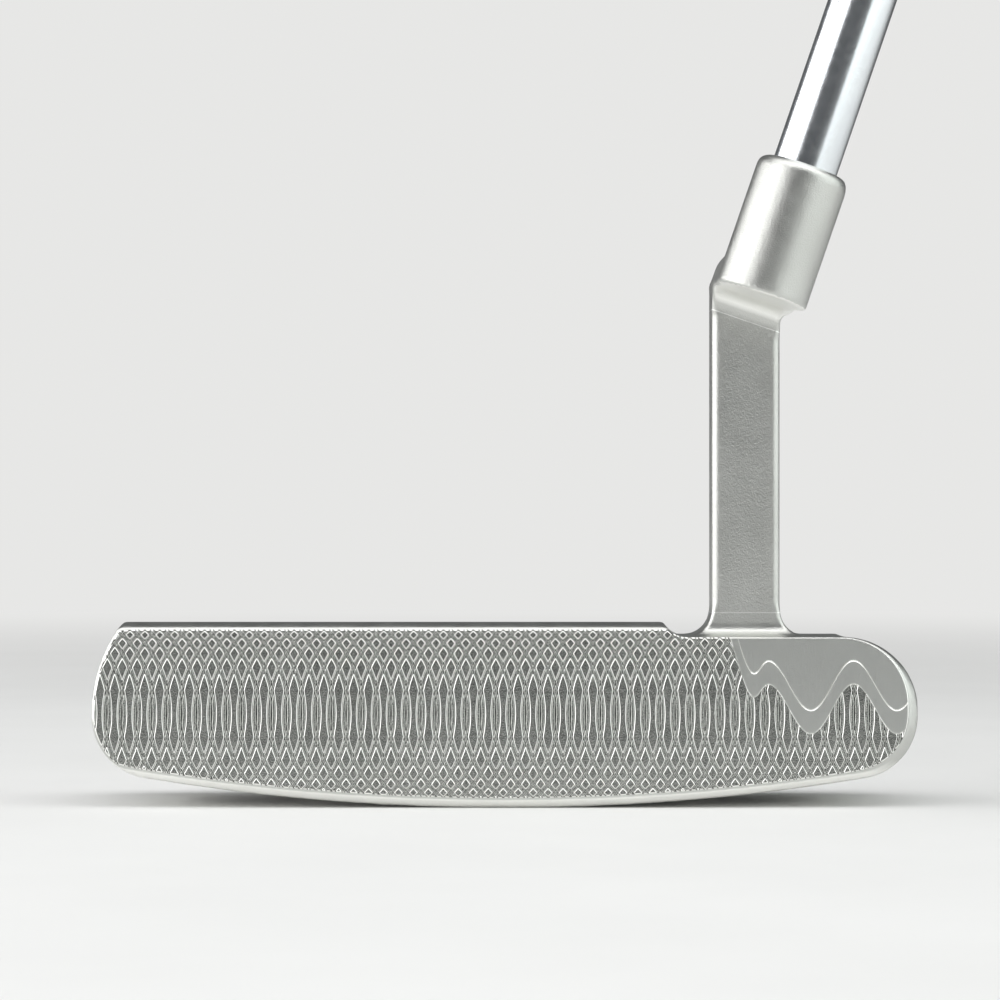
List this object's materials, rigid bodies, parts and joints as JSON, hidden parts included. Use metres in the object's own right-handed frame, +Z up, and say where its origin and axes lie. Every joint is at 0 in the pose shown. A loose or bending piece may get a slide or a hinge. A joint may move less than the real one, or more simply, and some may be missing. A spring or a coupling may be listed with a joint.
{
  "type": "blade putter",
  "caption": "Right-handed blade golf putter: milled steel head with a plumber's neck, chromed stepped shaft and a pistol grip.",
  "frame": {"origin": "on the ground at the sole's flat spot, under the middle of the head's length", "axes": "+Z up with the club at address; the face looks along -Y; the toe is at -X, the heel and the player at +X"},
  "size_m": [0.3677, 0.0472, 0.8201],
  "materials": {
    "head_steel": "fly-cut face, fine bead-blasted satin elsewhere",
    "sight_paint": "black enamel",
    "weight_steel": "turned, satin",
    "seal_rubber": "moulded",
    "epoxy": "cured epoxy",
    "cork": "raw",
    "shaft_chrome": "satin chrome plate",
    "tape": "paper-backed adhesive tape",
    "grip_rubber": "matte with pressed grooves and dots",
    "cap_rubber": "matte"
  },
  "bodies": {
    "root": {"head": "head_steel", "sight_line_fill": "sight_paint", "toe_weight": "weight_steel", "heel_weight": "weight_steel", "toe_weight_seal": "seal_rubber", "heel_weight_seal": "seal_rubber", "epoxy_bond": "epoxy", "tip_plug": "cork", "shaft": "shaft_chrome", "grip_tape": "tape", "grip_sleeve": "grip_rubber", "grip_cap": "cap_rubber"}
  },
  "joints": []
}
